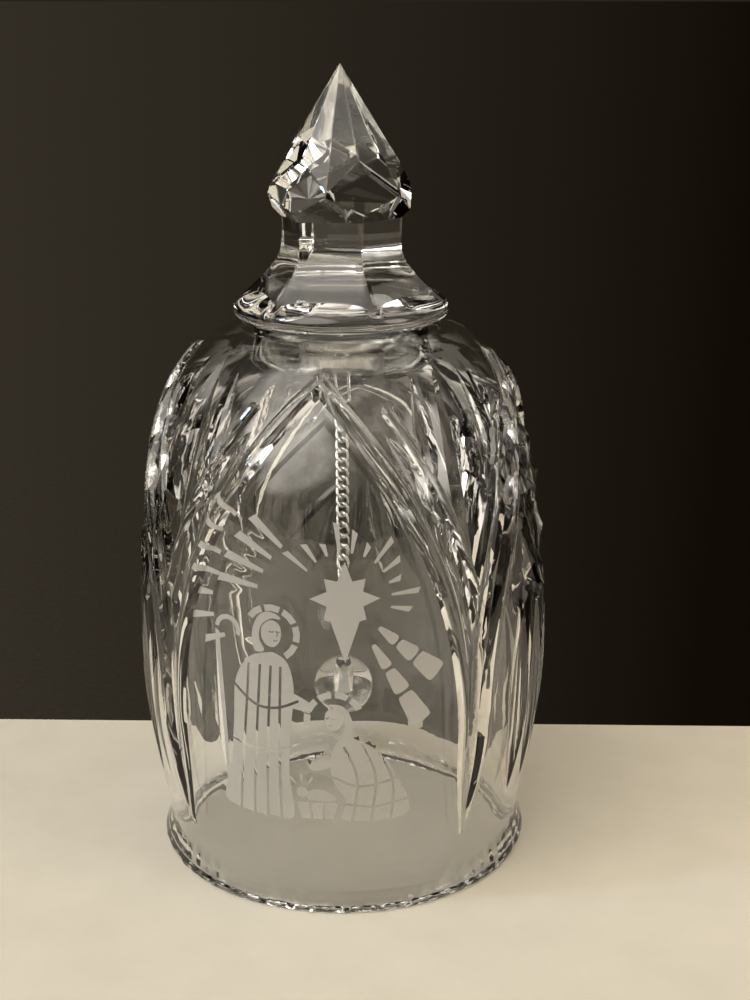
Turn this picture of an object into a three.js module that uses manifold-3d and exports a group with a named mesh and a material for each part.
// A cut crystal table bell: a dome with four gothic arches of raised ribs, a faceted finial bonded to its
// crown, and a glass ball that hangs inside on a fine curb chain.
// Millimetres, +Z up. The origin is on the bell's axis, in the plane of the rim. The front faces -Y.
// Angles round the axis are counted from the front, positive towards +X.

import * as THREE from 'three';
import { mergeVertices } from 'three/addons/utils/BufferGeometryUtils.js';
import Module from 'manifold-3d';

const wasm = await Module();
wasm.setup();

const DEG = Math.PI / 180;

// ---- driving dimensions -------------------------------------------------------------------------

const BELL_HEIGHT = 127;
const CROWN_TOP = 88.5; // flat top of the dome, under the finial
const CROWN_FLAT_RADIUS = 15.6;
const CROWN_UNDERSIDE = 84; // flat inside of the crown, where the pad is cemented
const RIM_OUTER_RADIUS = 30.7;
const RIM_WIDEST_HEIGHT = 1.2; // the lip is rounded under itself below here
const RIM_FLAT_RADIUS = 29.9; // outside edge of the flat ring that the bell stands on
const RIM_INNER_RADIUS = 27.8;

const ARCH_COUNT = 4;
const FRONT_ARCH_ANGLE = -6.5; // degrees
const ARCH_APEX_HEIGHT = 83;
const ARCH_SPRING_HEIGHT = 30; // the arch is widest and upright here
const ARCH_HALF_WIDTH = 23.9; // on the developed surface, at the spring
const ARCH_FOOT_HEIGHT = 11; // neighbouring ribs meet here in a point
const RIB_RADIUS = 1.5;
const RIB_SINK = 0.4; // how far the rib's centre line lies under the glass surface

const BOND_THICKNESS = 0.25;
const BOND_RADIUS = 15;
const COLLAR_RADIUS = 16.9;
const FACET_ANGLE = 20; // degrees, the finial edge nearest the front
const FACET_COUNT = 6;
const SPIRE_SLOPE = 0.64; // radius gained for each millimetre down from the tip
const KITE_TOP_HEIGHT = 113.3; // the kite facets run from here down to the undercut
const KITE_SLOPE = 0.28; // how fast a kite's face leans out on the way down
const GIRDLE_HEIGHT = 108.2; // the finial is widest here
const UNDERCUT_SLOPE = 0.85; // how fast the undercut facets widen on the way up
const NECK_TOP = 104.2;
const NECK_HEIGHT = 99; // the neck is narrowest here
const NECK_RADIUS = 9.7; // out to the neck's edges, at the narrowest
const FLUTE_FOOT = 91.6; // the neck's flutes run out in the collar's top here

const PAD_RADIUS = 6.6;
const PAD_THICKNESS = 1.6;
const HANGER_WIRE = 0.6;
const HANGER_WIDTH = 2.8;
const HANGER_DROP = 6.2; // from the pad to the middle of the staple's wire

const RING_WIRE = 0.6;
const RING_DIAMETER = 3.6;
const LINK_WIRE = 0.55;
const LINK_WIDTH = 2.3;
const LINK_LENGTH = 3;
const LINK_COUNT = 23;
const LINK_PLAY = 0.1; // daylight between two wires that hang on each other
const LINK_END_TWIST = 45; // degrees, each end of a curb link is turned this far

const EYE_WIRE = 0.6;
const EYE_DIAMETER = 2.6;
const EYE_STANDOFF = 0.3; // from the ball's top to the eye's lower wire
const BALL_RADIUS = 5;
const BORE_RADIUS = 1.15;
const BORE_DEPTH = 5.7;
const SHANK_RADIUS = 0.5;
const SHANK_FOOT_GAP = 0.6; // from the bore's floor to the end of the pin
const CEMENT_CLEARANCE = 0.03;
const CEMENT_RECESS = 0.2; // the cement stops this far under the mouth of the bore

const ROUND_SEGMENTS = 48;
const SMALL_ROUND_SEGMENTS = 24;
const PIN_SEGMENTS = 12;
const WIRE_SEGMENTS = 12;
const WIRE_SIDES = 6;
const WALL_ROWS = 14; // steps up the outside of the dome
const INNER_ROWS = 10;
const RIB_STEPS = 12;
const WELD_DISTANCE = 1e-4;

// ---- materials ----------------------------------------------------------------------------------

const crystal = new THREE.MeshStandardMaterial({ color: 0xdfe6e8, roughness: 0.04, metalness: 0 });
const adhesive = new THREE.MeshStandardMaterial({ color: 0xe4e6e2, roughness: 0.25, metalness: 0 });
const padMetal = new THREE.MeshStandardMaterial({ color: 0xc9cacb, roughness: 0.3, metalness: 0.9 });
const chainMetal = new THREE.MeshStandardMaterial({ color: 0xc4c6c8, roughness: 0.22, metalness: 1 });
const cement = new THREE.MeshStandardMaterial({ color: 0xd8d8d2, roughness: 0.6, metalness: 0 });

// ---- helpers ------------------------------------------------------------------------------------

// Merges shared corners and drops the empty triangles that a lathe leaves on its axis.
function welded(geometry) {
  const bare = geometry.clone();
  for (const name of Object.keys(bare.attributes)) {
    if (name !== 'position') {
      bare.deleteAttribute(name);
    }
  }
  const merged = mergeVertices(bare, WELD_DISTANCE);
  const corners = merged.index.array;
  const kept = [];
  for (let i = 0; i < corners.length; i += 3) {
    const [a, b, c] = [corners[i], corners[i + 1], corners[i + 2]];
    if (a !== b && b !== c && c !== a) {
      kept.push(a, b, c);
    }
  }
  merged.setIndex(kept);
  return merged;
}

function toSolid(geometry) {
  const closed = welded(geometry);
  return new wasm.Manifold(new wasm.Mesh({
    numProp: 3,
    vertProperties: new Float32Array(closed.attributes.position.array),
    triVerts: new Uint32Array(closed.index.array),
  }));
}

function toGeometry(solid) {
  const mesh = solid.getMesh();
  const geometry = new THREE.BufferGeometry();
  geometry.setAttribute('position', new THREE.BufferAttribute(new Float32Array(mesh.vertProperties), 3));
  geometry.setIndex(new THREE.BufferAttribute(new Uint32Array(mesh.triVerts), 1));
  return geometry;
}

// Turns an outline of [radius, height] pairs about the +Z axis. The outline runs up the outside.
function turned(outline, segments, startAngle = 0) {
  const points = outline.map(([radius, height]) => new THREE.Vector2(radius, height));
  const geometry = new THREE.LatheGeometry(points, segments, startAngle * DEG);
  geometry.rotateX(Math.PI / 2);
  return welded(geometry);
}

// A smooth outline through a few [radius, height] pairs.
function smooth(outline, count) {
  const curve = new THREE.SplineCurve(outline.map(([radius, height]) => new THREE.Vector2(radius, height)));
  return curve.getPoints(count).map((point) => [point.x, point.y]);
}

// A round wire swept along a curve.
function wire(curve, radius, steps, sides) {
  const section = new THREE.Shape();
  for (let i = 0; i < sides; i += 1) {
    const angle = (2 * Math.PI * i) / sides;
    const x = radius * Math.cos(angle);
    const y = radius * Math.sin(angle);
    if (i === 0) {
      section.moveTo(x, y);
    } else {
      section.lineTo(x, y);
    }
  }
  section.closePath();
  return new THREE.ExtrudeGeometry(section, { steps, extrudePath: curve, bevelEnabled: false });
}

// A wire ring that stands upright in the plane at the given angle.
function uprightRing(diameter, wireDiameter, planeAngle) {
  const radius = (diameter - wireDiameter) / 2;
  const ring = new THREE.TorusGeometry(radius, wireDiameter / 2, WIRE_SIDES, WIRE_SEGMENTS);
  ring.rotateX(Math.PI / 2);
  ring.rotateZ(planeAngle * DEG);
  return welded(ring);
}

function piece(name, geometry, material, height = 0) {
  const mesh = new THREE.Mesh(geometry, material);
  mesh.name = name;
  mesh.position.z = height;
  return mesh;
}

// ---- the dome -----------------------------------------------------------------------------------

// Outside of the glass between the ribs, from just above the lip to the crown.
const outerCurve = new THREE.SplineCurve([
  [RIM_OUTER_RADIUS, RIM_WIDEST_HEIGHT],
  [29.5, 5.5],
  [31.2, 14],
  [33.1, 27],
  [33.4, 38],
  [32.5, 57],
  [30.5, 68.5],
  [26.5, 78.5],
  [20.8, 85.6],
  [CROWN_FLAT_RADIUS, CROWN_TOP],
].map(([radius, height]) => new THREE.Vector2(radius, height)));

const INNER_WALL = [
  [7.2, CROWN_UNDERSIDE],
  [12.5, 82.6],
  [19.5, 78],
  [25.6, 69],
  [28.4, 57],
  [29.4, 40],
  [28.9, 24],
  [27.1, 8],
  [RIM_INNER_RADIUS, 0],
];

// Radius of the glass between the ribs at a height.
function outerRadius(height) {
  let low = 0;
  let high = 1;
  const halvings = 40;
  for (let i = 0; i < halvings; i += 1) {
    const middle = (low + high) / 2;
    if (outerCurve.getPoint(middle).y < height) {
      low = middle;
    } else {
      high = middle;
    }
  }
  return outerCurve.getPoint(low).x;
}

// Half the angle that an arch spans at a height, in degrees. Above the spring its sides are arcs on the
// developed surface that meet at the apex, and below it they spread until they meet the next arch.
function archHalfAngle(height) {
  const rise = ARCH_APEX_HEIGHT - ARCH_SPRING_HEIGHT;
  const sideRadius = (rise * rise + ARCH_HALF_WIDTH * ARCH_HALF_WIDTH) / (2 * ARCH_HALF_WIDTH);
  const springAngle = ARCH_HALF_WIDTH / outerRadius(ARCH_SPRING_HEIGHT) / DEG;
  if (height >= ARCH_SPRING_HEIGHT) {
    const up = height - ARCH_SPRING_HEIGHT;
    const halfWidth = Math.sqrt(sideRadius * sideRadius - up * up) - (sideRadius - ARCH_HALF_WIDTH);
    return halfWidth / outerRadius(height) / DEG;
  }
  const down = (ARCH_SPRING_HEIGHT - height) / (ARCH_SPRING_HEIGHT - ARCH_FOOT_HEIGHT);
  const meetingAngle = 180 / ARCH_COUNT;
  return springAngle + (meetingAngle - springAngle) * down * down;
}

// Centre line of one rib, from the apex of its arch to the foot.
class RibCurve extends THREE.Curve {
  constructor(archAngle, side) {
    super();
    this.archAngle = archAngle;
    this.side = side;
  }

  getPoint(t) {
    const height = THREE.MathUtils.lerp(ARCH_APEX_HEIGHT, ARCH_FOOT_HEIGHT, t);
    const angle = (this.archAngle + this.side * archHalfAngle(height)) * DEG;
    const radius = outerRadius(height) - RIB_SINK;
    return new THREE.Vector3(radius * Math.sin(angle), -radius * Math.cos(angle), height);
  }
}

function bellBody() {
  const outside = outerCurve.getPoints(WALL_ROWS).map((point) => [point.x, point.y]);
  const outline = [
    [0, CROWN_UNDERSIDE],
    ...smooth(INNER_WALL, INNER_ROWS),
    [RIM_FLAT_RADIUS, 0],
    ...outside,
    [0, CROWN_TOP],
  ];
  let body = toSolid(turned(outline, ROUND_SEGMENTS));
  for (let arch = 0; arch < ARCH_COUNT; arch += 1) {
    const archAngle = FRONT_ARCH_ANGLE + (360 / ARCH_COUNT) * arch;
    for (const side of [-1, 1]) {
      body = body.add(toSolid(wire(new RibCurve(archAngle, side), RIB_RADIUS, RIB_STEPS, WIRE_SIDES)));
    }
  }
  return toGeometry(body);
}

// ---- the finial ---------------------------------------------------------------------------------

const FINIAL_FOOT = CROWN_TOP + BOND_THICKNESS;

function finialBond() {
  const outline = [
    [0, CROWN_TOP],
    [BOND_RADIUS, CROWN_TOP],
    [BOND_RADIUS, FINIAL_FOOT],
    [0, FINIAL_FOOT],
  ];
  return turned(outline, ROUND_SEGMENTS);
}

const halfFacet = 180 / FACET_COUNT;
const facetCos = Math.cos(halfFacet * DEG);

// Twelve upper facets that meet in the tip, six kites that lean out below them, and six undercut facets
// between the kites. Each set is a pyramid, and the spire is what all three have in common.
function finialSpire() {
  const spare = 1; // the kites and the undercut start below the neck's top, and are cut level there
  const foot = NECK_TOP - spare;
  const upperRadius = SPIRE_SLOPE * (BELL_HEIGHT - foot);
  const upper = [[0, foot], [upperRadius, foot], [0, BELL_HEIGHT]];

  const kiteTopFlat = SPIRE_SLOPE * (BELL_HEIGHT - KITE_TOP_HEIGHT);
  const kiteFlat = (height) => kiteTopFlat + KITE_SLOPE * (KITE_TOP_HEIGHT - height);
  const kites = [
    [0, foot],
    [kiteFlat(foot) / facetCos, foot],
    [kiteFlat(BELL_HEIGHT) / facetCos, BELL_HEIGHT],
    [0, BELL_HEIGHT],
  ];

  const girdleRadius = kiteFlat(GIRDLE_HEIGHT) / facetCos;
  const undercutFlat = (height) => girdleRadius - UNDERCUT_SLOPE * (GIRDLE_HEIGHT - height);
  const undercut = [
    [0, NECK_TOP],
    [undercutFlat(NECK_TOP) / facetCos, NECK_TOP],
    [undercutFlat(BELL_HEIGHT) / facetCos, BELL_HEIGHT],
    [0, BELL_HEIGHT],
  ];

  const upperFacets = toSolid(turned(upper, 2 * FACET_COUNT, FACET_ANGLE));
  const kiteFacets = toSolid(turned(kites, FACET_COUNT, FACET_ANGLE + halfFacet));
  const undercutFacets = toSolid(turned(undercut, FACET_COUNT, FACET_ANGLE));
  return upperFacets.intersect(kiteFacets).intersect(undercutFacets);
}

// Six-sided neck with hollow flutes that run out into the collar and scallop its top.
function finialNeck() {
  const steps = 10;
  const flute = smooth([
    [17.6, FLUTE_FOOT],
    [14.6, 93.3],
    [11.6, 95.9],
    [NECK_RADIUS, NECK_HEIGHT],
    [NECK_RADIUS, NECK_TOP],
  ], steps);
  const outline = [[0, FLUTE_FOOT], ...flute, [0, NECK_TOP]];
  const fluted = toSolid(turned(outline, FACET_COUNT, FACET_ANGLE));
  const spare = 1;
  const blankRadius = COLLAR_RADIUS - 0.7;
  const blank = [
    [0, FLUTE_FOOT - spare],
    [blankRadius, FLUTE_FOOT - spare],
    [blankRadius, NECK_TOP + spare],
    [0, NECK_TOP + spare],
  ];
  return fluted.intersect(toSolid(turned(blank, ROUND_SEGMENTS)));
}

function finialCollar() {
  const outline = [
    [0, FINIAL_FOOT],
    [COLLAR_RADIUS - 1, FINIAL_FOOT],
    [COLLAR_RADIUS - 0.2, 89.4],
    [COLLAR_RADIUS, 90.2],
    [COLLAR_RADIUS - 0.4, 91.2],
    [COLLAR_RADIUS - 1.6, 92.2],
    [0, 92.6],
  ];
  return toSolid(turned(outline, ROUND_SEGMENTS));
}

function finial() {
  return toGeometry(finialCollar().add(finialNeck()).add(finialSpire()));
}

// ---- what the clapper hangs from ----------------------------------------------------------------

const PAD_UNDERSIDE = CROWN_UNDERSIDE - PAD_THICKNESS;

function crownPad() {
  const edge = 0.4;
  const outline = [
    [0, PAD_UNDERSIDE],
    [PAD_RADIUS - edge, PAD_UNDERSIDE],
    [PAD_RADIUS, PAD_UNDERSIDE + edge],
    [PAD_RADIUS, CROWN_UNDERSIDE],
    [0, CROWN_UNDERSIDE],
  ];
  return turned(outline, SMALL_ROUND_SEGMENTS);
}

// A U of wire: down one leg, round the bottom, up the other.
class StapleCurve extends THREE.Curve {
  getPoint(t) {
    const bend = (HANGER_WIDTH - HANGER_WIRE) / 2;
    const leg = HANGER_DROP - bend;
    const half = leg + (Math.PI * bend) / 2;
    const along = Math.abs(2 * t - 1) * half; // measured from the bottom
    const side = t < 0.5 ? -1 : 1;
    const turn = Math.min(along / bend, Math.PI / 2);
    const straight = Math.max(along - (Math.PI * bend) / 2, 0);
    const x = side * bend * Math.sin(turn);
    const z = PAD_UNDERSIDE - leg - bend * Math.cos(turn) + straight;
    return new THREE.Vector3(x, 0, z);
  }
}

function hangerLoop() {
  const steps = 22;
  return welded(wire(new StapleCurve(), HANGER_WIRE / 2, steps, WIRE_SIDES + 2));
}

// ---- the chain ----------------------------------------------------------------------------------

// An oval link: a ring drawn out along Z, with its ends turned opposite ways like a curb link's.
function curbLink() {
  const radius = (LINK_WIDTH - LINK_WIRE) / 2;
  const link = new THREE.TorusGeometry(radius, LINK_WIRE / 2, WIRE_SIDES, WIRE_SEGMENTS);
  link.rotateX(Math.PI / 2);
  const stretch = (LINK_LENGTH - LINK_WIDTH) / 2;
  const endHeight = (LINK_LENGTH - LINK_WIRE) / 2;
  const corners = link.attributes.position;
  const corner = new THREE.Vector3();
  const up = new THREE.Vector3(0, 0, 1);
  for (let i = 0; i < corners.count; i += 1) {
    corner.fromBufferAttribute(corners, i);
    if (Math.abs(corner.z) > WELD_DISTANCE) {
      corner.z += Math.sign(corner.z) * stretch;
    }
    corner.applyAxisAngle(up, (-LINK_END_TWIST * DEG * corner.z) / endHeight);
    corners.setXYZ(i, corner.x, corner.y, corner.z);
  }
  return welded(link);
}

const staple = PAD_UNDERSIDE - HANGER_DROP; // middle of the staple's lowest wire
const ringTop = staple + (HANGER_WIRE + RING_WIRE) / 2 + LINK_PLAY;
const ringHeight = ringTop - (RING_DIAMETER - RING_WIRE) / 2;
const ringBottom = ringTop - (RING_DIAMETER - RING_WIRE);
const firstLinkTop = ringBottom + (RING_WIRE + LINK_WIRE) / 2 + LINK_PLAY;
const firstLinkHeight = firstLinkTop - (LINK_LENGTH - LINK_WIRE) / 2;
const linkPitch = LINK_LENGTH - 2 * LINK_WIRE - LINK_PLAY;
const lastLinkHeight = firstLinkHeight - linkPitch * (LINK_COUNT - 1);

// ---- the clapper ball ---------------------------------------------------------------------------

const lastLinkBottom = lastLinkHeight - (LINK_LENGTH - LINK_WIRE) / 2;
const eyeTop = lastLinkBottom + (LINK_WIRE + EYE_WIRE) / 2 + LINK_PLAY;
const eyeHeight = eyeTop - (EYE_DIAMETER - EYE_WIRE) / 2;
const eyeBottom = eyeHeight - (EYE_DIAMETER - EYE_WIRE) / 2;
const boreTop = eyeBottom - EYE_WIRE / 2 - EYE_STANDOFF;
const ballHeight = boreTop - Math.sqrt(BALL_RADIUS * BALL_RADIUS - BORE_RADIUS * BORE_RADIUS);
const boreFloor = boreTop - BORE_DEPTH;
const shankFoot = boreFloor + SHANK_FOOT_GAP;

function eyePin() {
  const eye = toSolid(uprightRing(EYE_DIAMETER, EYE_WIRE, -LINK_END_TWIST).translate(0, 0, eyeHeight));
  const shank = turned([
    [0, shankFoot],
    [SHANK_RADIUS, shankFoot],
    [SHANK_RADIUS, eyeBottom],
    [0, eyeBottom],
  ], PIN_SEGMENTS);
  return toGeometry(eye.add(toSolid(shank)));
}

// Fills the bore round the shank and under its foot.
function pinCement() {
  const outer = BORE_RADIUS - CEMENT_CLEARANCE;
  const inner = SHANK_RADIUS + CEMENT_CLEARANCE;
  return turned([
    [0, boreFloor + CEMENT_CLEARANCE],
    [outer, boreFloor + CEMENT_CLEARANCE],
    [outer, boreTop - CEMENT_RECESS],
    [inner, boreTop - CEMENT_RECESS],
    [inner, shankFoot - CEMENT_CLEARANCE],
    [0, shankFoot - CEMENT_CLEARANCE],
  ], PIN_SEGMENTS);
}

function clapperBall() {
  const rows = 12;
  const boreAngle = Math.asin(BORE_RADIUS / BALL_RADIUS);
  const outline = [[0, ballHeight - BALL_RADIUS]];
  for (let i = 1; i <= rows; i += 1) {
    const angle = ((Math.PI - boreAngle) * i) / rows;
    outline.push([BALL_RADIUS * Math.sin(angle), ballHeight - BALL_RADIUS * Math.cos(angle)]);
  }
  outline.push([BORE_RADIUS, boreFloor], [0, boreFloor]);
  return turned(outline, SMALL_ROUND_SEGMENTS);
}

// ---- the bell -----------------------------------------------------------------------------------

const bell = new THREE.Group();
bell.add(piece('bell_body', bellBody(), crystal));
bell.add(piece('finial_bond', finialBond(), adhesive));
bell.add(piece('finial', finial(), crystal));
bell.add(piece('crown_pad', crownPad(), padMetal));
bell.add(piece('hanger_loop', hangerLoop(), chainMetal));
bell.add(piece('top_ring', uprightRing(RING_DIAMETER, RING_WIRE, 90), chainMetal, ringHeight));
for (let i = 0; i < LINK_COUNT; i += 1) {
  const name = `chain_link_${String(i + 1).padStart(2, '0')}`;
  bell.add(piece(name, curbLink(), chainMetal, firstLinkHeight - linkPitch * i));
}
bell.add(piece('eye_pin', eyePin(), chainMetal));
bell.add(piece('pin_cement', pinCement(), cement));
bell.add(piece('clapper_ball', clapperBall(), crystal));

export default bell;
